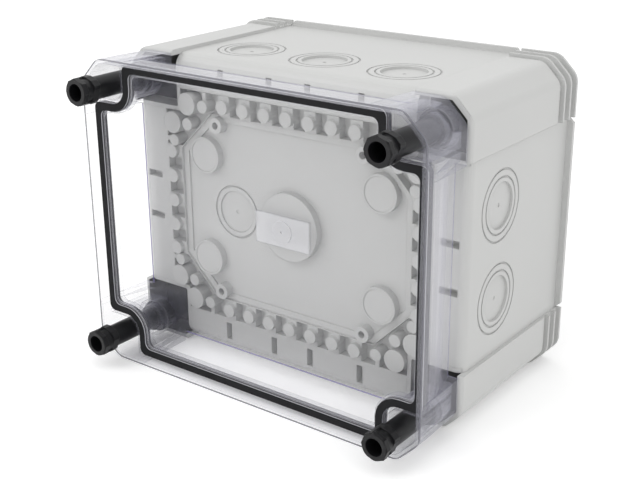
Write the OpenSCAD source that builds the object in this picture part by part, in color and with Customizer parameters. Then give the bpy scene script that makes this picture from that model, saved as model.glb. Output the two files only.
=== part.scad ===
// Square-cornered polycarbonate enclosure with a clear lift-off cover and four
// quarter-turn fasteners.  The box stands on one long side.  Its open front faces
// +Y and its back faces -Y, where the cover is parked with its inside to the viewer.

/* [Base] */
// Width between the flat left and right walls
base_w = 228.4; // [200:0.2:260]
// Height between the flat top and bottom walls
base_h = 179.4; // [160:0.2:210]
// Depth from the tops of the back posts to the front face
base_d = 114; // [90:1:160]
// Thickness of the moulded walls
wall = 3; // [2.5:0.1:3.5]
// How far the front flange stands out from the flat walls
flange_proud = 3.5; // [2.5:0.1:4]
// Length of the corner zones along each wall
corner_len = 35; // [33:0.5:38]
// Height of the sealing collar in front of the flange
collar_h = 6.5; // [4:0.5:8]

/* [Back pattern] */
// Distance between neighbouring posts
post_pitch = 15.4; // [15:0.1:16]
// Diameter of the posts in the rows and columns
post_d = 8.4; // [8:0.1:9]
// Depth of the pockets between the posts
pocket_depth = 8; // [5:0.5:9]
// Depth of the flat field inside the octagon
field_depth = 5.4; // [4.9:0.1:7]
// Half of the distance between the wall screw holes
screw_half = 51.5; // [50:0.1:53]
// Diameter of the wall screw holes
screw_d = 4.2; // [3:0.1:5]

/* [Knockouts] */
// Outer ring diameter, for an M40 gland
ring_m40 = 40.5; // [40:0.1:41]
// Middle ring diameter, for an M32 gland
ring_m32 = 32.3; // [32:0.1:33]
// Diameter of the sunk inner disc, for an M25 gland
ring_m25 = 25.8; // [25:0.1:26]
// Spacing of the three knockouts in the top and bottom walls
top_pitch = 53; // [50:0.5:56]
// Spacing of the two knockouts in the side walls
side_pitch = 52.8; // [50:0.2:56]
// Distance of the knockout centres from the back
knockout_y = 36.5; // [32:0.5:50]

/* [Cover] */
// Outer width at the rim
rim_w = 230.8; // [226:0.2:236]
// Outer height at the rim
rim_h = 184.6; // [180:0.2:188]
// Depth from rim to window face
cover_d = 39.8; // [36:0.2:50]
// Thickness of the clear walls
cover_wall = 2.4; // [2:0.1:3]
// Draft of the side walls over their depth, per side
cover_draft = 6.6; // [5:0.1:7]
// Gap between the parked cover and the back posts
park_gap = 0.4; // [0.3:0.1:5]
// Width and depth of the gasket
gasket_w = 4.5; // [4:0.1:4.8]

/* [Fasteners] */
// Overall length of a fastener
fastener_len = 58; // [54:0.5:62]
// Diameter of the hollow shaft
shaft_d = 13; // [12:0.1:14]
// Diameter of the two bayonet rings
ring_d = 15.7; // [15:0.1:16]
// Diameter of the bore inside the shaft
shaft_bore = 10; // [8:0.1:11]

/* [Hidden] */
$fn = 64;

grey = [0.78, 0.79, 0.78];
clear = [0.86, 0.86, 0.94, 0.35];
black = [0.10, 0.10, 0.11];

over = 0.5;                                // cutters run past a face by this much

over_front = 8;                            // thicker lip behind the front face
seam = 0.02;                               // between the parts of the base moulding

// Corner zones, each with a recess in the back and a well from the front
zone_proud = 2;                            // surface of a corner zone above the flat walls
zone_wall = 3.3;
zone_cut = 8.8;                            // 45 degree cut of the recess corners
zone_soft = 5;
zone_round = 2;                            // back edge of a corner zone
groove_proud = 0.8;                        // surface between the grip ribs
rib_t = 1.8;
rib_pitch = 7.3;
ribbed_len = 19;
flange_t = 2.6;
recess_x = base_w / 2 + flange_proud - corner_len;
recess_z = base_h / 2 + flange_proud - corner_len;
recess_floor = 14.7;
recess_wall = 2.6;
well_x = recess_x - recess_wall;
well_z = recess_z - recess_wall;
well_y = recess_floor + recess_wall;

// The line that the gasket and the collar follow: straight along the walls and
// inwards round each fastener
line_x = base_w / 2 - 3.7;
line_z = base_h / 2 - 2.7;
line_block_x = 86.5;
line_block_z = 63.2;
line_r = 12;
line_end_r = 4;

// Fastener axes and the height of the cover's middle below the base's middle
axis_x = 100.3;
axis_z = 76.4;
cover_drop = base_h / 2 + flange_proud - rim_h / 2;

// Back pattern
ledge_y = 2.8;
side_round = 5;                            // shoulder between the ledge and the side walls
top_round = 8.5;                           // the same along the top and bottom walls
row_z = 62.9;
col_x = 87.2;
row_posts = 7;
col_posts = 5;
web_w = 7.8;
web_y = 2.2;
octagon_x = 81;
octagon_z = 57;
octagon_cut = 24;
octagon_rib = 4;
octagon_top = 4.4;
ledge_z = 69.2;
ledge_x = 92;
row_split = 54.4;                          // where the rows and columns of posts are drawn apart
column_split = 78.4;
floor_y = pocket_depth + wall;

// Cover, measured from the rim at y = rim_y to the window at y = window_y
window_y = -park_gap;
rim_y = window_y - cover_d;
rim_cut = 13.4;
rim_round = 9.7;                           // between the eight sides of the rim
rim_soft = 1;
knee_depth = 14;                           // the walls are nearly upright from the rim to here
knee_share = 0.1;                          // share of the draft that they have reached here
ear_draft = 1;                             // the corner zones are drafted less than the walls
ear_round = 1.2;
edge_round = 2.6;
gasket_y = rim_y + 6;
groove_gap = 0.15;                         // around the gasket in its groove
groove_y = gasket_y + gasket_w + groove_gap;
web_t = 1.8;
groove_t = 1.2;
groove_edge = gasket_y + 1.5;              // the gasket stands out of its groove
well_t = 2;
cup_r = 10;
cup_wall = 1.6;
cup_depth = 8.6;
cup_floor = 3;
bore_r = 8.12;

// Fastener
tip_y = window_y - 0.4 - fastener_len;
head_r = 9.2;
head_t = 6.1;
collar_r = 8.05;
seal_t = 1.8;
seal_y = window_y - cup_depth + 0.15 + seal_t / 2;

// The model's origin is under the middle of its bounding box
mid_y = (base_d + collar_h + tip_y) / 2;
mid_z = base_h / 2 + flange_proud;

// ---- Helpers -------------------------------------------------------------

// Extrude an outline drawn in X and Z from y0 to y1
module along_y(y0, y1) {
    translate([0, y1, 0]) rotate([90, 0, 0]) linear_extrude(y1 - y0) children();
}

module rod_y(x, z, y0, y1, d) {
    along_y(y0, y1) translate([x, z]) circle(d = d);
}

// The same thing in all four corners
module four_corners() {
    for (flip_x = [0, 1], flip_z = [0, 1])
        mirror([flip_x, 0, 0]) mirror([0, 0, flip_z]) children();
}

module four_corners_2d() {
    for (flip_x = [0, 1], flip_z = [0, 1])
        mirror([flip_x, 0]) mirror([0, flip_z]) children();
}

module rounded_rect(w, h, r) {
    square([w - 2 * r, h], center = true);
    square([w, h - 2 * r], center = true);
    for (sx = [-1, 1], sz = [-1, 1])
        translate([sx * (w / 2 - r), sz * (h / 2 - r)]) circle(r = r);
}

// Corners of a rectangle with each corner cut off at 45 degrees
function cut_corners(w, h, cut) =
    let (x = w / 2, z = h / 2)
    [[x, cut - z], [x, z - cut], [x - cut, z], [cut - x, z],
     [-x, z - cut], [-x, cut - z], [cut - x, -z], [x - cut, -z]];

// Rectangle with cut corners whose eight edges meet in arcs of radius r
module soft_rect(w, h, cut, r) {
    core = cut_corners(w - 2 * r, h - 2 * r, cut - r * (2 - sqrt(2)));
    for (i = [0:7]) {
        a = core[i];
        b = core[(i + 1) % 8];
        side = [b[1] - a[1], a[0] - b[0]] / norm(b - a) * r;
        polygon([[0, 0], a, a + side, b + side, b]);
        translate(a) circle(r = r);
    }
}

// The same moved outwards by g, with parallel edges
module soft_zone(w, h, cut, r, g) {
    soft_rect(w + 2 * g, h + 2 * g, cut + g * (2 - sqrt(2)), r + g);
}

function unit(v) = v / norm(v);

// Arc that rounds the square corner p1 between its neighbours p0 and p2
function fillet(p0, p1, p2, r, n) =
    let (a = unit(p0 - p1), b = unit(p2 - p1), c = p1 + (a + b) * r)
    [for (i = [0:n]) c - (b * cos(90 * i / n) + a * sin(90 * i / n)) * r];

function rounded(points, radii, n = 6) =
    let (last = len(points))
    [for (i = [0:last - 1])
        each fillet(points[(i + last - 1) % last], points[i], points[(i + 1) % last], radii[i], n)];

// Outline inside the gasket line: it reaches x and z at the walls, and its inward
// corners lie g outside the line, so that a larger g gives a larger outline
module seal_zone(x, z, g) {
    bx = line_block_x + g;
    bz = line_block_z + g;
    quadrant = [[x, bz], [bx, bz], [bx, z]];
    radii = [line_end_r, line_r - g, line_end_r];
    points = concat(
        quadrant,
        [for (i = [2:-1:0]) [-quadrant[i][0], quadrant[i][1]]],
        [for (i = [0:2]) -quadrant[i]],
        [for (i = [2:-1:0]) [quadrant[i][0], -quadrant[i][1]]]);
    polygon(rounded(points, concat(radii, radii, radii, radii)));
}

// Band of width w centred on the gasket line
module seal_band(w) {
    difference() {
        seal_zone(line_x + w / 2, line_z + w / 2, w / 2);
        seal_zone(line_x - w / 2, line_z - w / 2, -w / 2);
    }
}

// Square field in one corner, as long as a corner zone
module corner_field(len) {
    translate([base_w / 2 + flange_proud - len / 2, base_h / 2 + flange_proud - len / 2])
        square(len, center = true);
}

// ---- Base ----------------------------------------------------------------

module corner_zone_2d(proud) {
    intersection() {
        box_outline(proud);
        four_corners_2d() corner_field(corner_len);
    }
}

// Outline of the box, moved outwards from the flat walls by g
module box_outline(g) {
    inside = zone_proud - zone_wall;
    soft_zone(base_w + 2 * inside, base_h + 2 * inside, zone_cut, zone_soft, g - inside);
}

// Inside of the outer walls in the corner zones, larger by g
module zone_inside_2d(g) {
    box_outline(zone_proud - zone_wall + g);
}

// Corner outside the lines at x and z, as far as the outer walls
module corner_area_2d(x, z, r, g = 0) {
    block = 60;
    intersection() {
        zone_inside_2d(g);
        translate([x - g + block / 2, z - g + block / 2]) rounded_rect(block, block, r);
    }
}

// Room for a fastener, and the same with its wall round it
module channel_2d() {
    corner_area_2d(line_block_x + wall / 2, line_block_z + wall / 2, line_r - wall / 2);
}

module well_2d(g) {
    corner_area_2d(line_block_x - wall / 2, line_block_z - wall / 2, line_r + wall / 2 + g, g);
}

// Footprint of a corner recess with the walls on its inner sides
module recess_field_2d(g) {
    corner_area_2d(well_x, well_z, 1, g);
}

module octagon_2d(inset) {
    x = octagon_x - inset;
    z = octagon_z - inset;
    c = octagon_cut - inset * 0.6;
    polygon([[x, z - c], [x - c, z], [c - x, z], [-x, z - c],
             [-x, c - z], [c - x, -z], [x - c, -z], [x, c - z]]);
}

// Section of a box of half the width w whose back, at y0, meets its sides in arcs of
// radius r
function back_section(w, y0, r) = concat(
    [[-w, base_d]],
    [for (a = [0:15:90]) [r * (1 - cos(a)) - w, y0 + r * (1 - sin(a))]],
    [for (a = [90:-15:0]) [w - r * (1 - cos(a)), y0 + r * (1 - sin(a))]],
    [[w, base_d]]);

// The section through the side walls, out by g, and the one through top and bottom
module back_profile(g, y0, r) {
    h = base_h / 2 + g;
    translate([0, 0, -h]) linear_extrude(2 * h) polygon(back_section(base_w / 2 + g, y0, r));
}

module top_profile(g, y0, r) {
    w = base_w / 2 + g;
    translate([-w, 0, 0]) rotate([90, 0, 90]) linear_extrude(2 * w)
        polygon([for (p = back_section(base_h / 2 + g, y0, r)) [p[1], p[0]]]);
}

// Side walls with a rounded shoulder round the back
module tray_outside() {
    intersection() {
        along_y(ledge_y, base_d) box_outline(0);
        back_profile(0, ledge_y, side_round);
        top_profile(0, ledge_y, top_round);
    }
}

// Raised corner zones, with a narrower rounding
module corner_zones() {
    intersection() {
        along_y(0, base_d - ribbed_len) corner_zone_2d(zone_proud);
        back_profile(zone_proud, 0, zone_round);
        top_profile(zone_proud, 0, zone_round);
    }
}

// Lip round the front between the corner zones, with sloping ends
module flange() {
    x = base_w / 2;
    z = base_h / 2;
    run_x = x + flange_proud - corner_len;
    run_z = z + flange_proud - corner_len;
    slope = 3;
    along_y(base_d - flange_t, base_d)
        for (s = [-1, 1]) {
            polygon([[-run_x, s * (z - 1)], [-run_x, s * z], [slope - run_x, s * (z + flange_proud)],
                     [run_x - slope, s * (z + flange_proud)], [run_x, s * z], [run_x, s * (z - 1)]]);
            polygon([[s * (x - 1), -run_z], [s * x, -run_z], [s * (x + flange_proud), slope - run_z],
                     [s * (x + flange_proud), run_z - slope], [s * x, run_z], [s * (x - 1), run_z]]);
        }
}

// Groove rings, the sunk inner disc and the centre mark of a knockout, cut from
// z = 0 downwards
module knockout_cut(rings, disc, sunk) {
    groove = 1;
    depth = 0.8;
    rotate_extrude()
        union() {
            for (d = rings) translate([d / 2 - groove, -depth]) square([groove, depth + over]);
            translate([0, -sunk]) square([disc / 2, sunk + over]);
            translate([0, -sunk - 0.3]) square([1, sunk + over]);
        }
}

module wall_knockouts() {
    for (s = [-1, 1]) {
        for (i = [-1:1])
            translate([i * top_pitch, knockout_y, s * base_h / 2]) rotate([s > 0 ? 0 : 180, 0, 0])
                knockout_cut([ring_m40, ring_m32], ring_m25, 1.4);
        for (i = [-0.5, 0.5])
            translate([s * base_w / 2, knockout_y, i * side_pitch]) rotate([0, s * 90, 0])
                knockout_cut([ring_m40, ring_m32], ring_m25, 1.4);
    }
}

// Inner part of the back inside the ledge, between the four corners, smaller by g
module panel_2d(g) {
    difference() {
        square([2 * (ledge_x - g), 2 * (ledge_z - g)], center = true);
        four_corners_2d() recess_field_2d(g + seam);
    }
}

// Pockets between the posts, down to the pocket floor
module pockets_2d() {
    gap = post_pitch - web_w;
    inner_z = octagon_z + 0.4;
    inner_x = octagon_x + 0.4;
    row_end = row_posts / 2 * post_pitch - gap / 2;
    col_end = col_posts / 2 * post_pitch - gap / 2;
    for (s = [-1, 1]) {
        for (i = [1:row_posts - 1])
            translate([(i - row_posts / 2) * post_pitch - gap / 2, s > 0 ? inner_z : -ledge_z - over])
                square([gap, ledge_z + over - inner_z]);
        for (i = [1:col_posts - 1])
            translate([s > 0 ? inner_x : -ledge_x - over, (i - col_posts / 2) * post_pitch - gap / 2])
                square([ledge_x + over - inner_x, gap]);
    }
    four_corners_2d()
        polygon([[row_end, ledge_z + over], [row_end, inner_z], [inner_x - octagon_cut, inner_z],
                 [inner_x - 1.2, col_end], [ledge_x + over, col_end], [ledge_x + over, ledge_z + over]]);
}

// Posts with the webs that tie them to the ledge
module posts() {
    end_y = pocket_depth + 1;
    for (s = [-1, 1]) {
        for (i = [0:row_posts - 1]) {
            x = (i - (row_posts - 1) / 2) * post_pitch;
            rod_y(x, s * row_z, 0, end_y, post_d);
            along_y(web_y, end_y) translate([x - web_w / 2, s > 0 ? row_z : -ledge_z])
                square([web_w, ledge_z - row_z]);
        }
        for (i = [0:col_posts - 1]) {
            z = (i - (col_posts - 1) / 2) * post_pitch;
            rod_y(s * col_x, z, 0, end_y, post_d);
            along_y(web_y, end_y) translate([s > 0 ? col_x : -ledge_x, z - web_w / 2])
                square([ledge_x - col_x, web_w]);
        }
    }
    four_corners() {
        rod_y(73.4, 61.2, 0, end_y, 13.2);
        rod_y(85.3, 48.7, 0, end_y, 13.2);
        rod_y(61, 61.2, 0, end_y, 7.4);
        rod_y(73.4, 49.1, 0, end_y, 7.4);
        rod_y(84.4, 38, 0, end_y, 7);
        along_y(web_y, end_y) translate([59.6, 61.2]) square([2.8, ledge_z - 61.2]);
        along_y(web_y, end_y) translate([84.4, 36.6]) square([ledge_x - 84.4, 2.8]);
    }
}

// Round pads, screw bosses and the middle disc that stand on the octagon field
module field_pads() {
    end_y = field_depth + 1;
    pad_y = 1;
    four_corners() {
        difference() {
            rod_y(61.7, 32, pad_y, end_y, 22);
            rod_y(61.7, 32, pad_y - over, pad_y + 0.4, 19.4);
        }
        rod_y(screw_half, screw_half, 0, end_y, 9.6);
    }
    rod_y(0, 0, 1.2, end_y, 40.6);
}

// Slots through the shoulder between the ledge and the walls
module shoulder_slots() {
    slot_w = 4;
    slot_len = 11;
    for (s = [-1, 1]) {
        for (x = [-48.6, -13.3, 13.3, 48.6])
            translate([x - slot_w / 2, -over, s * 78 - slot_len / 2])
                cube([slot_w, pocket_depth + over, slot_len]);
        for (z = [-13.3, 13.3])
            translate([s * 104 - slot_len / 2, -over, z - slot_w / 2])
                cube([slot_len, pocket_depth + over, slot_w]);
    }
}

// Keyhole in the corner web that takes a fastener's bayonet rings
module bayonet_web() {
    keyhole_y = base_d - 14;
    keyhole_t = 4;
    difference() {
        along_y(keyhole_y, keyhole_y + keyhole_t) channel_2d();
        translate([axis_x, 0, axis_z]) {
            rod_y(0, 0, keyhole_y - over, keyhole_y + keyhole_t + over, shaft_d + 1.4);
            for (a = [0, 90]) rotate([0, a, 0])
                translate([-ring_d / 2 - 0.5, keyhole_y - over, -2.2])
                    cube([ring_d + 1, keyhole_t + 2 * over, 4.4]);
        }
    }
}

// Domes inside for a mounting plate and for a rail
module mounting_domes() {
    dome_h = 13;
    color(grey)
        for (sx = [-1, 1]) {
            for (sz = [-1, 1]) screw_dome(sx * 84, sz * 46, dome_h);
            screw_dome(sx * 42, 0, dome_h - 5);
        }
}

module screw_dome(x, z, h) {
    pilot_d = 3.6;
    difference() {
        rod_y(x, z, floor_y + seam, floor_y + h, 9);
        rod_y(x, z, floor_y + 1, floor_y + h + over, pilot_d);
    }
}

// Walls, shoulders, corner zones and front of the base moulding
module base() {
    color(grey)
        difference() {
            union() {
                tray_outside();
                corner_zones();
                along_y(zone_round, base_d) corner_zone_2d(groove_proud);
                for (i = [0:2])
                    along_y(base_d - i * rib_pitch - rib_t, base_d - i * rib_pitch)
                        corner_zone_2d(flange_proud);
                flange();
                along_y(base_d - 1, base_d + collar_h) seal_band(2);
            }
            along_y(floor_y, base_d - over_front) box_outline(-wall);
            along_y(base_d - over_front - over, base_d + collar_h + over)
                seal_zone(line_x - 1, line_z - 1, -1.4);
            along_y(-over, well_y + seam) four_corners_2d() recess_field_2d(seam);
            along_y(-over, base_d + collar_h + over) four_corners_2d() well_2d(seam);
            along_y(-over, floor_y + over) panel_2d(-seam);
            shoulder_slots();
            wall_knockouts();
        }
}

// Middle of the back with its posts, pads and pockets
module back_moulding() {
    difference() {
        union() {
            difference() {
                along_y(ledge_y, floor_y) panel_2d(0);
                along_y(-over, pocket_depth) pockets_2d();
                along_y(-over, octagon_top) octagon_2d(0);
                along_y(-over, field_depth) octagon_2d(octagon_rib);
            }
            posts();
            field_pads();
        }
        four_corners() rod_y(screw_half, screw_half, -over, floor_y + over, screw_d);
        translate([-41.6, field_depth, 0]) rotate([90, 0, 0]) knockout_cut([ring_m32], 25, 0.9);
    }
}

// Area of the posts above (side = 1) or below (side = -1) the octagon, smaller by g
module row_area_2d(side, g) {
    reach = 40;
    difference() {
        translate([0, side * (row_split + g + reach / 2)]) square([2 * (well_x - g), reach], center = true);
        octagon_2d(-g);
    }
}

// Area of the posts to the right or left of the octagon
module column_area_2d(side, g) {
    reach = 40;
    difference() {
        translate([side * (column_split + g + reach / 2), 0]) square([reach, 2 * ledge_z], center = true);
        octagon_2d(-g);
        row_area_2d(1, 0);
        row_area_2d(-1, 0);
    }
}

module back_panel() {
    color(grey)
        difference() {
            back_moulding();
            along_y(-over, floor_y + over)
                for (side = [-1, 1]) {
                    row_area_2d(side, 0);
                    column_area_2d(side, 0);
                }
        }
}

module post_row(side) {
    color(grey)
        intersection() {
            back_moulding();
            along_y(-over, floor_y + over) row_area_2d(side, seam);
        }
}

module post_column(side) {
    color(grey)
        intersection() {
            back_moulding();
            along_y(-over, floor_y + over) column_area_2d(side, seam);
        }
}

// Recess in the back of one corner and the well for a fastener in front of it
module corner_well() {
    color(grey) {
        difference() {
            intersection() {
                tray_outside();
                along_y(ledge_y, well_y) recess_field_2d(0);
            }
            along_y(-over, recess_floor) corner_area_2d(recess_x, recess_z, 1);
        }
        along_y(recess_floor, well_y) recess_field_2d(0);
        difference() {
            union() {
                along_y(well_y - 0.1, base_d) well_2d(0);
                along_y(base_d - 1, base_d + collar_h) intersection() {
                    seal_band(2);
                    well_2d(0);
                }
            }
            along_y(well_y, base_d + collar_h + over) channel_2d();
        }
        bayonet_web();
    }
}

// ---- Cover ---------------------------------------------------------------

// Solid from y0 at the rim to y1 at the window, inside the rim's outline by g.  Its
// walls are nearly upright as far as the knee, then drafted, then rounded.
module drafted_block(g, draft, y0, y1, round) {
    slab = 0.01;
    knee_y = rim_y + knee_depth;
    hull() {
        along_y(y0, y0 + slab) rim_outline(-g);
        along_y(knee_y, knee_y + slab) rim_outline(-g - knee_share * draft);
        along_y(y1 - round, y1 - round + slab) rim_outline(-g - draft);
        along_y(y1 - 0.25 * round, y1 - 0.25 * round + slab) rim_outline(-g - draft - 0.3 * round);
        along_y(y1 - slab, y1) rim_outline(-g - draft - round);
    }
}

// Outline of the rim, moved outwards by g
module rim_outline(g) {
    cut = rim_cut + g * (2 - sqrt(2));
    soft_rect(rim_w + 2 * g, rim_h + 2 * g, cut, max(rim_soft, rim_round + g), $fn = 32);
}

// Corner part of the cover, outside the gasket line by g
module well_field_2d(g) {
    block = 60;
    four_corners_2d()
        translate([line_block_x + g + block / 2, line_block_z + g + block / 2])
            rounded_rect(block, block, line_r - g);
}

// The cover's form inside the rim's outline by g, with its fuller corner zones
module cover_form(g, y0, y1) {
    drafted_block(g, cover_draft, y0, y1, edge_round);
    intersection() {
        drafted_block(g, ear_draft, y0, y1, ear_round);
        along_y(y0, y1) four_corners_2d() corner_field(corner_len - g);
    }
}

module cover_outside() {
    cover_form(0, rim_y, window_y);
}

module cover_inside() {
    cover_form(cover_wall, rim_y - over, window_y - cover_wall);
}

// Cup for a fastener's head, with the bore for its shaft in the floor
module cup_outside() {
    rod_y(axis_x, axis_z, window_y - cup_depth - cup_floor, window_y, 2 * (cup_r + cup_wall));
}

// Walls of the gasket groove and the clear wall round each fastener
module groove_walls() {
    inner = gasket_w / 2 + groove_gap;
    along_y(groove_edge - 1, window_y - 1) difference() {
        well_field_2d(inner);
        well_field_2d(inner + well_t);
    }
    along_y(groove_y, groove_y + web_t) difference() {
        square([rim_w, rim_h], center = true);
        seal_zone(line_x - inner - groove_t, line_z - inner - groove_t, -inner - groove_t);
        well_field_2d(inner + 0.2);
    }
    along_y(groove_edge, groove_y + web_t) difference() {
        seal_zone(line_x - inner, line_z - inner, -inner);
        seal_zone(line_x - inner - groove_t, line_z - inner - groove_t, -inner - groove_t);
    }
}

module cover() {
    color(clear)
        translate([0, 0, -cover_drop]) difference() {
            union() {
                difference() {
                    cover_outside();
                    cover_inside();
                }
                intersection() {
                    cover_outside();
                    union() {
                        groove_walls();
                        four_corners() cup_outside();
                    }
                }
                along_y(window_y - cover_wall - 1.4, window_y - 1) square([38, 18.4], center = true);
                rod_y(0, 0, window_y - cover_wall - 2, window_y - 1, 13.4);
            }
            along_y(rim_y - over, groove_y) seal_band(gasket_w + 2 * groove_gap);
            four_corners() {
                rod_y(axis_x, axis_z, window_y - cup_depth, window_y + over, 2 * cup_r);
                rod_y(axis_x, axis_z, rim_y, window_y, 2 * bore_r);
            }
            rod_y(0, 0, window_y - cover_wall - 3, window_y - cover_wall - 1.5, 1.6);
        }
}

module gasket() {
    color(black)
        translate([0, 0, -cover_drop]) along_y(gasket_y, gasket_y + gasket_w) seal_band(gasket_w);
}

// ---- Fasteners -----------------------------------------------------------

// Place a part on the axis of the fastener in the corner given by the signs
module on_axis(sx, sz) {
    translate([sx * axis_x, 0, sz * axis_z - cover_drop]) children();
}

module fastener(sx, sz) {
    ring_t = 3.4;
    groove_len = 4.4;
    head_y = window_y - 0.4 - head_t;
    color(black)
        on_axis(sx, sz) difference() {
            union() {
                rod_y(0, 0, tip_y, head_y, shaft_d);
                difference() {
                    union() {
                        rod_y(0, 0, tip_y, tip_y + 0.5, ring_d - 1);
                        along_y(tip_y + 0.5, tip_y + ring_t) circle(d = ring_d + 0.5, $fn = 8);
                        along_y(tip_y + ring_t + groove_len, tip_y + 2 * ring_t + groove_len + 1)
                            rotate(22.5) circle(d = ring_d + 0.5, $fn = 8);
                    }
                    for (a = [20, 200]) rotate([0, a, 0])
                        translate([shaft_d / 2, tip_y + ring_t + 1, -3.4]) cube([4, 12, 6.8]);
                    for (a = [110, 290]) rotate([0, a, 0])
                        translate([shaft_d / 2 + 0.6, tip_y - over, -6]) cube([4, 20, 12]);
                }
                for (a = [65, 245]) rotate([0, a, 0])
                    translate([shaft_d / 2 - 1, tip_y + 1, -1.6]) cube([ring_d / 2 - shaft_d / 2 + 0.8, 9, 3.2]);
                rod_y(0, 0, window_y - cup_depth - cup_floor - 1, head_y + 1, 2 * collar_r);
                rod_y(0, 0, head_y, window_y - 0.4, 2 * head_r);
            }
            rod_y(0, 0, tip_y - over, window_y - 14, shaft_bore);
            translate([-6.5, window_y - 0.4 - 2.6, -1.1]) cube([13, 4, 2.2]);
            for (a = [0:30:330]) rotate([0, a, 0])
                rod_y(head_r + 0.5, 0, head_y + 1, window_y, 2.2);
        }
}

module seal(sx, sz) {
    color(black)
        on_axis(sx, sz) translate([0, seal_y, 0]) rotate([90, 0, 0])
            rotate_extrude() translate([collar_r + 0.08 + seal_t / 2, 0]) circle(d = seal_t, $fn = 24);
}

// ---- Assembly ------------------------------------------------------------

module place() {
    translate([0, -mid_y, mid_z]) children();
}

place() base();
place() back_panel();
place() post_row(1);  // post_row_top
place() post_row(-1);  // post_row_bottom
place() post_column(-1);  // post_column_left
place() post_column(1);  // post_column_right
place() mounting_domes();
place() mirror([1, 0, 0]) corner_well();  // corner_well_top_left
place() corner_well();  // corner_well_top_right
place() mirror([1, 0, 0]) mirror([0, 0, 1]) corner_well();  // corner_well_bottom_left
place() mirror([0, 0, 1]) corner_well();  // corner_well_bottom_right
place() cover();
place() gasket();
place() fastener(-1, 1);  // fastener_top_left
place() fastener(1, 1);  // fastener_top_right
place() fastener(-1, -1);  // fastener_bottom_left
place() fastener(1, -1);  // fastener_bottom_right
place() seal(-1, 1);  // seal_top_left
place() seal(1, 1);  // seal_top_right
place() seal(-1, -1);  // seal_bottom_left
place() seal(1, -1);  // seal_bottom_right
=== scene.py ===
import math
import bpy
from mathutils import Matrix, Vector


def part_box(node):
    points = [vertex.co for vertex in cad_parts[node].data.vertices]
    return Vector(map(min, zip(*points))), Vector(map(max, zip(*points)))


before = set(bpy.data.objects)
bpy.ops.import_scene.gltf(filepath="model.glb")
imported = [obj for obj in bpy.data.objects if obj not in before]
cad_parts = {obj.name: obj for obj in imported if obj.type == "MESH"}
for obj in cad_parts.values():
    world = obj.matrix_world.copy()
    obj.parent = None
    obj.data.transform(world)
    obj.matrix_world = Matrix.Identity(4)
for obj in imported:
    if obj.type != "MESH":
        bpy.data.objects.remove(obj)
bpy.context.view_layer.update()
print("frame loaded")


# shader maths: a wrapped socket takes + - * / and gives Math nodes
class Sock:
    def __init__(self, graph, socket):
        self.graph, self.socket = graph, socket

    def math(self, operation, *values):
        return self.graph.node("ShaderNodeMath", {"operation": operation}, list(values))[0]

    def __add__(self, other): return self.math("ADD", self, other)
    def __radd__(self, other): return self.math("ADD", other, self)
    def __sub__(self, other): return self.math("SUBTRACT", self, other)
    def __rsub__(self, other): return self.math("SUBTRACT", other, self)
    def __mul__(self, other): return self.math("MULTIPLY", self, other)
    def __rmul__(self, other): return self.math("MULTIPLY", other, self)
    def __truediv__(self, other): return self.math("DIVIDE", self, other)
    def __rtruediv__(self, other): return self.math("DIVIDE", other, self)
    def __pow__(self, other): return self.math("POWER", self, other)
    def size(self): return self.math("ABSOLUTE", self)
    def larger(self, other): return self.math("MAXIMUM", self, other)

    # 0 at the limit, 1 once the value is past it by soft
    def above(self, limit, soft):
        settings = {"operation": "DIVIDE", "use_clamp": True}
        return self.graph.node("ShaderNodeMath", settings, [self - limit, soft])[0]

    # 1 until the value is within soft of the limit, 0 at the limit
    def below(self, limit, soft):
        return 1 - self.above(limit - soft, soft)


# a material's or world's node tree, filled one node at a time
class Graph:
    columns, step = 8, 220

    def __init__(self, owner):
        self.owner = owner
        owner.use_nodes = True
        self.tree = owner.node_tree
        self.tree.nodes.clear()
        self.place = 0

    def node(self, kind, settings=None, sockets=None):
        made = self.tree.nodes.new(kind)
        made.location = (self.step * (self.place % self.columns), -self.step * (self.place // self.columns))
        self.place += 1
        for key, value in (settings or {}).items():
            setattr(made, key, value)
        pairs = sockets.items() if isinstance(sockets, dict) else enumerate(sockets or [])
        for key, value in pairs:
            socket = made.inputs[key]
            if isinstance(value, Sock):
                self.tree.links.new(value.socket, socket)
            else:
                socket.default_value = value
        return [Sock(self, output) for output in made.outputs]

    # the point in the object's own metres
    def where(self):
        return self.node("ShaderNodeTexCoord")[3]

    def parts(self, vector):
        return self.node("ShaderNodeSeparateXYZ", {}, [vector])[:3]

    def noise(self, scale, detail=2.0, rough=0.5):
        sockets = {"Vector": self.where(), "Scale": scale, "Detail": detail, "Roughness": rough}
        return self.node("ShaderNodeTexNoise", {}, sockets)[0]

    # the surface normal, rounded at the edges
    def bevel(self, radius, samples=4):
        return self.node("ShaderNodeBevel", {"samples": samples}, {"Radius": radius})[0]

    def bump(self, height, strength, distance, normal=None):
        sockets = {"Strength": strength, "Distance": distance, "Height": height}
        if normal:
            sockets["Normal"] = normal
        return self.node("ShaderNodeBump", {}, sockets)[0]

    def principled(self, sockets):
        return self.node("ShaderNodeBsdfPrincipled", {}, sockets)[0]

    def blend(self, factor, a, b):
        a, b = ((*tone, 1) if isinstance(tone, tuple) else tone for tone in (a, b))
        return self.node("ShaderNodeMix", {"data_type": "RGBA"}, {0: factor, 6: a, 7: b})[2]

    # 1 for the rays that a viewer sees directly, in a mirror or through clear plastic
    def clearRays(self):
        rays = self.node("ShaderNodeLightPath")
        settings = {"operation": "ADD", "use_clamp": True}
        return self.node("ShaderNodeMath", settings, [rays[0] + rays[3], rays[6]])[0]

    def stack(self, factor, under, over):
        return self.node("ShaderNodeMixShader", {}, {0: factor, 1: under, 2: over})[0]

    def output(self, shader, kind="ShaderNodeOutputMaterial"):
        self.node(kind, {}, {"Surface": shader})
        return self.owner


def newMaterial(name):
    return Graph(bpy.data.materials.new(name))


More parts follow.
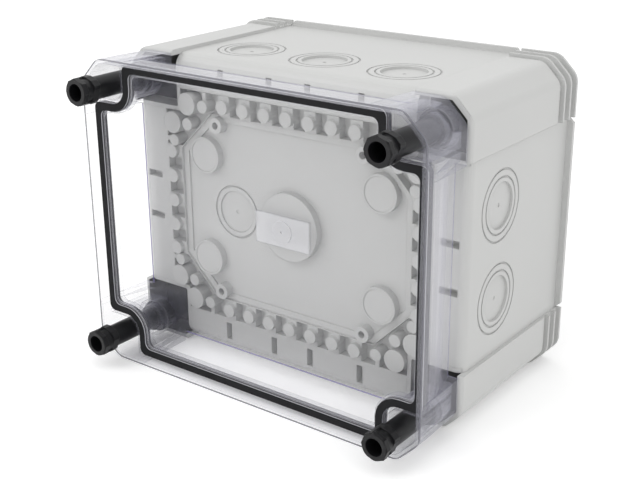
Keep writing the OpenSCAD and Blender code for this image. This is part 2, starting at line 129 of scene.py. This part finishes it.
# grey polycarbonate, with painted shade darkening the four corner recesses of the back
shell = {"tone": (0.585, 0.588, 0.578), "shade": (0.55, 0.553, 0.545), "roughness": 0.37, "mottle": 0.1,
         "ior": 1.58, "specular": 0.45, "edgeRadius": 0.0007, "grain": 0.06, "grainDepth": 0.0001,
         "cloudScale": 14, "grainScale": 2600, "flowScale": 45, "flowShare": 0.6}
# painted shade for the corner recesses: its dark tone and the box it fills
recessShade = {"tone": (0.024, 0.025, 0.022), "startX": 0.0829, "startZ": 0.0584, "endX": 0.1131, "endZ": 0.0886,
          "endSum": 0.1928, "depth": 0.0152, "soft": 0.0002}


# where the painted shade goes: 1 inside the corner recesses, 0 elsewhere
def recessShadeMask(mat):
    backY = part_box("back_panel")[0][1]
    low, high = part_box("base")
    x, y, z = mat.parts(mat.where())
    x, z, soft = x.size(), (z - (low[2] + high[2]) / 2).size(), recessShade["soft"]
    across = x.above(recessShade["startX"], soft) * x.below(recessShade["endX"], soft)
    upward = z.above(recessShade["startZ"], soft) * z.below(recessShade["endZ"], soft)
    return across * upward * (x + z).below(recessShade["endSum"], soft) * y.below(backY + recessShade["depth"], soft)


def greyPolycarbonate():
    mat = newMaterial("greyPolycarbonate")
    cloud = mat.noise(shell["cloudScale"], 3)
    grain = mat.noise(shell["grainScale"], 2)
    flow = mat.noise(shell["flowScale"], 4, 0.6)
    # painted shade: the corner recesses take the dark tone in place of the grey
    tone = mat.blend(recessShadeMask(mat), mat.blend(cloud, shell["shade"], shell["tone"]), recessShade["tone"])
    height = grain + flow * shell["flowShare"]
    bumped = mat.bump(height, shell["grain"], shell["grainDepth"], mat.bevel(shell["edgeRadius"]))
    return mat.output(mat.principled({
        "Base Color": tone, "Roughness": shell["roughness"] + flow * shell["mottle"], "IOR": shell["ior"],
        "Specular IOR Level": shell["specular"], "Normal": bumped}))


# clear polycarbonate: a see-through sheet with a thin milky veil that grows at grazing angles, with painted
# shade on its edges, grazing faces, rim and window crease and a painted highlight on its lip
clear = {"pass": (0.998, 0.998, 0.998), "veil": (0.67, 0.665, 0.77), "veilFlat": 0.006, "veilGrazing": 0.34,
         "sheenFlat": 0.012, "sheenGrazing": 0.5, "ripple": 0.05, "rippleDepth": 0.0004, "rippleScale": 28,
         "scuffScale": 600, "gloss": 0.05, "scuff": 0.05, "milkGloss": 0.2, "milkScuff": 0.1}
# painted shade: dark lines along the cover's edges
edgeShade = {"tone": (0.24, 0.24, 0.32), "veil": 0.5, "radius": 0.00035, "gain": 5.0}
# painted shade: a darker grey on faces seen at a steep grazing angle
grazingShade = {"tone": (0.30, 0.30, 0.36), "veil": 0.2, "start": 0.84, "soft": 0.12}
pad = {"tone": (0.80, 0.80, 0.84), "veil": 0.42, "halfWidth": 0.019, "halfHeight": 0.0092, "front": 0.0056,
       "back": 0.003}
# painted shade: a dark band along the back edge of the rim
rimShade = {"tone": (0.16, 0.16, 0.19), "veil": 0.6, "width": 0.0009, "depth": 0.0012, "cut": 0.0134}
# painted highlight: a light line on the lip just behind the gasket
lipHighlight = {"tone": (0.80, 0.80, 0.85), "veil": 0.2, "behindGasket": 0.0015, "width": 0.0003, "inside": 0.0045}
ear = {"tone": (0.50, 0.50, 0.60), "veil": 0.1, "length": 0.0345, "soft": 0.0006}
# painted shade: a dark violet line round the outer border of the window's face
creaseShade = {"tone": (0.22, 0.19, 0.42), "veil": 0.75, "depth": 0.001, "start": 0.008}
coverSoft = 0.0002


# masks for places on the cover, each from 0 to 1, among them where the painted shade and the painted
# highlight go
def coverMasks(mat):
    low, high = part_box("cover")
    x, y, z = mat.parts(mat.where())
    x, z, soft = x.size(), (z - (low[2] + high[2]) / 2).size(), coverSoft
    endX, endZ, windowY = high[0], (high[2] - low[2]) / 2, high[1]
    padHere = x.below(pad["halfWidth"], soft) * z.below(pad["halfHeight"], soft)
    padHere = padHere * y.above(windowY - pad["front"], soft) * y.below(windowY - pad["back"], soft)
    # distance past the rim's outline, with its cut corners; below 0 inside it
    pastCut = (x + z - (endX + endZ - rimShade["cut"])) * math.sqrt(0.5)
    outward = (x - endX).larger(z - endZ).larger(pastCut)
    rimShadeHere = outward.above(-rimShade["width"], soft) * y.below(low[1] + rimShade["depth"], soft)
    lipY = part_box("gasket")[0][1] + lipHighlight["behindGasket"]
    lipHighlightHere = y.above(lipY - lipHighlight["width"], soft) * y.below(lipY + lipHighlight["width"], soft)
    lipHighlightHere = lipHighlightHere * outward.below(-lipHighlight["inside"], soft)
    earHere = x.above(endX - ear["length"], ear["soft"]) * z.above(endZ - ear["length"], ear["soft"])
    creaseShadeHere = outward.above(-creaseShade["start"], soft) * y.above(windowY - creaseShade["depth"], soft)
    return padHere, rimShadeHere, lipHighlightHere, earHere, creaseShadeHere * (1 - earHere)


def clearPolycarbonate():
    mat = newMaterial("clearPolycarbonate")
    ripple = mat.noise(clear["rippleScale"], 2)
    scuff = mat.noise(clear["scuffScale"], 3, 0.6)
    padHere, rimShadeHere, lipHighlightHere, earHere, creaseShadeHere = coverMasks(mat)
    rounded = mat.bevel(edgeShade["radius"], 6)
    bumped = mat.bump(ripple, clear["ripple"], clear["rippleDepth"], rounded)
    # painted shade: where the rounded normal turns away from the flat one, the dark edge lines go
    flatNormal = mat.node("ShaderNodeNewGeometry")[1]
    along = mat.node("ShaderNodeVectorMath", {"operation": "DOT_PRODUCT"}, [rounded, flatNormal])[1]
    settings = {"operation": "MULTIPLY", "use_clamp": True}
    paintedEdgeHere = mat.node("ShaderNodeMath", settings, [1 - along, edgeShade["gain"]])[0]
    grazing = mat.node("ShaderNodeLayerWeight", {}, {"Blend": 0.5})[1]
    grazingShadeHere = grazing.above(grazingShade["start"], grazingShade["soft"])
    tone = mat.blend(earHere, clear["veil"], ear["tone"])
    veil = clear["veilFlat"] + clear["veilGrazing"] * grazing ** 2 + earHere * ear["veil"] * grazing
    # painted shade and a painted highlight are laid into the veil's tone and strength here
    for here, look in ((grazingShadeHere, grazingShade), (paintedEdgeHere, edgeShade), (rimShadeHere, rimShade), (lipHighlightHere, lipHighlight), (padHere, pad),
                       (creaseShadeHere, creaseShade)):
        tone = mat.blend(here, tone, look["tone"])
        veil = veil + here * look["veil"]
    passing = mat.node("ShaderNodeBsdfTransparent", {}, {"Color": (*clear["pass"], 1)})[0]
    shine = mat.principled({
        "Base Color": (1, 1, 1, 1), "Metallic": 1.0, "Roughness": clear["gloss"] + scuff * clear["scuff"],
        "Normal": bumped})
    milk = mat.principled({
        "Base Color": tone, "Roughness": clear["milkGloss"] + scuff * clear["milkScuff"], "Normal": bumped})
    glossy = mat.stack(clear["sheenFlat"] + clear["sheenGrazing"] * grazing ** 4, passing, shine)
    return mat.output(mat.stack(veil, glossy, milk))


# black rubber: dull, greyer on its sides from painted sheen, with a painted highlight line along its front
# edge
rubber = {"tone": (0.010, 0.010, 0.011), "bloom": (0.020, 0.020, 0.022), "roughness": 0.7, "bloomGloss": 0.2,
          "specular": 0.2, "cells": 0.35, "cellDepth": 0.0002, "cellScale": 1500, "bloomScale": 60,
          "sideSheenTone": (0.075, 0.075, 0.08), "sideStart": 0.6, "sideSoft": 0.2,
          "edgeHighlightTone": (0.62, 0.62, 0.66), "edgeHighlightWidth": 0.0006, "edgeHighlightSoft": 0.0001}


def gasketRubber():
    mat = newMaterial("gasketRubber")
    cells = mat.noise(rubber["cellScale"], 4, 0.7)
    bloom = mat.noise(rubber["bloomScale"], 4, 0.6)
    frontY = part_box("gasket")[0][1]
    forward = mat.parts(mat.node("ShaderNodeNewGeometry")[1])[1].size()
    # painted sheen: faces that turn sideways take a greyer tone
    sideways = forward.below(rubber["sideStart"], rubber["sideSoft"])
    y = mat.parts(mat.where())[1]
    # painted highlight: a light line along the rubber's front edge
    paintedEdgeHere = sideways * y.below(frontY + rubber["edgeHighlightWidth"], rubber["edgeHighlightSoft"])
    tone = mat.blend(bloom, rubber["tone"], rubber["bloom"])
    tone = mat.blend(paintedEdgeHere, mat.blend(sideways, tone, rubber["sideSheenTone"]), rubber["edgeHighlightTone"])
    return mat.output(mat.principled({
        "Base Color": tone, "Roughness": rubber["roughness"] + bloom * rubber["bloomGloss"],
        "Specular IOR Level": rubber["specular"],
        "Normal": mat.bump(cells, rubber["cells"], rubber["cellDepth"])}))


# black fastener plastic
knob = {"tone": (0.004, 0.004, 0.005), "worn": (0.011, 0.011, 0.012), "roughness": 0.28, "mottle": 0.14,
        "specular": 0.3, "edgeRadius": 0.0004, "grain": 0.12, "grainDepth": 0.0001, "flowScale": 180,
        "grainScale": 3200}


def fastenerPlastic():
    mat = newMaterial("fastenerPlastic")
    flow = mat.noise(knob["flowScale"], 4, 0.6)
    grain = mat.noise(knob["grainScale"], 2)
    tone = mat.blend(flow, knob["tone"], knob["worn"])
    bumped = mat.bump(grain, knob["grain"], knob["grainDepth"], mat.bevel(knob["edgeRadius"]))
    return mat.output(mat.principled({
        "Base Color": tone, "Roughness": knob["roughness"] + flow * knob["mottle"],
        "Specular IOR Level": knob["specular"], "Normal": bumped}))


# a finish on a piece
def dress(node, material):
    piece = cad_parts[node]
    piece.data.materials.clear()
    piece.data.materials.append(material)


shellNodes = ["base", "back_panel", "post_row_top", "post_row_bottom", "post_column_left",
              "post_column_right", "mounting_domes"]
corners = ["top_left", "top_right", "bottom_left", "bottom_right"]
shellFinish = greyPolycarbonate()
for node in shellNodes:
    dress(node, shellFinish)
dress("cover", clearPolycarbonate())
rubberFinish = gasketRubber()
dress("gasket", rubberFinish)
plasticFinish = fastenerPlastic()
for corner in corners:
    dress("corner_well_" + corner, shellFinish)
    dress("fastener_" + corner, plasticFinish)
    dress("seal_" + corner, rubberFinish)
print("finishes on", len(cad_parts), "nodes")


# floor, lamps, world and camera
studio = {"floorTone": 0.95, "floorGlow": 0.22, "floorHalf": 6.0, "worldDiffuse": 0.85,
          "target": (0, 0, 0.09)}
lamps = {"keyLamp": {"place": (-0.9, -1.1, 1.3), "size": 1.2, "power": 8.0},
         "fillLamp": {"place": (1.5, -0.6, 0.9), "size": 1.4, "power": 2.0},
         "topLamp": {"place": (0.1, 0.3, 1.7), "size": 1.4, "power": 3.0}}
view = {"place": (0.37575, -0.49806, 0.31177), "azimuth": 37.02, "elevation": 20.62, "roll": -0.40,
        "lens": 63.76, "sensorWidth": 36, "clipStart": 0.01}


# matte and lit by the lamps, with a glow that only the viewer's rays see; it keeps the object's shadow
def paleFloor():
    mesh = bpy.data.meshes.new("paleFloor")
    half = studio["floorHalf"]
    points = [(-half, -half, 0), (half, -half, 0), (half, half, 0), (-half, half, 0)]
    mesh.from_pydata(points, [], [(0, 1, 2, 3)])
    floor = bpy.data.objects.new("paleFloor", mesh)
    bpy.context.scene.collection.objects.link(floor)
    mat = newMaterial("paleFloor")
    matte = mat.node("ShaderNodeBsdfDiffuse", {}, {"Color": (studio["floorTone"],) * 3 + (1,)})[0]
    glow = mat.node("ShaderNodeEmission", {}, {"Color": (1, 1, 1, 1), "Strength": studio["floorGlow"]})[0]
    lifted = mat.node("ShaderNodeAddShader", {}, [matte, glow])[0]
    mesh.materials.append(mat.output(mat.stack(mat.clearRays(), matte, lifted)))


def softLamp(name, settings):
    lamp = bpy.data.lights.new(name, "AREA")
    lamp.shape, lamp.size, lamp.energy = "DISK", settings["size"], settings["power"]
    made = bpy.data.objects.new(name, lamp)
    made.location = settings["place"]
    aim = Vector(studio["target"]) - Vector(settings["place"])
    made.rotation_euler = aim.to_track_quat("-Z", "Y").to_euler()
    bpy.context.scene.collection.objects.link(made)


# white behind the object, a little dimmer as a light on it
def studioWorld():
    world = Graph(bpy.data.worlds.new("studioWorld"))
    strength = studio["worldDiffuse"] + (1 - studio["worldDiffuse"]) * world.clearRays()
    sky = world.node("ShaderNodeBackground", {}, {"Color": (1, 1, 1, 1), "Strength": strength})[0]
    bpy.context.scene.world = world.output(sky, "ShaderNodeOutputWorld")


def mainCamera():
    a, e, r = (math.radians(view[key]) for key in ("azimuth", "elevation", "roll"))
    back = Vector((math.sin(a) * math.cos(e), -math.cos(a) * math.cos(e), math.sin(e)))
    right = Vector((math.cos(a), math.sin(a), 0))
    up = right.cross(-back)
    x = math.cos(r) * right + math.sin(r) * up
    y = -math.sin(r) * right + math.cos(r) * up
    data = bpy.data.cameras.new("mainCamera")
    data.lens, data.sensor_width, data.sensor_fit = view["lens"], view["sensorWidth"], "HORIZONTAL"
    data.clip_start = view["clipStart"]
    made = bpy.data.objects.new("mainCamera", data)
    turn = Matrix((x, y, back)).transposed().to_4x4()
    made.matrix_world = Matrix.Translation(view["place"]) @ turn
    bpy.context.scene.collection.objects.link(made)
    bpy.context.scene.camera = made


paleFloor()
for name, settings in lamps.items():
    softLamp(name, settings)
studioWorld()
mainCamera()
bpy.context.scene.view_settings.view_transform = "Standard"
print("floor, lamps and camera set")
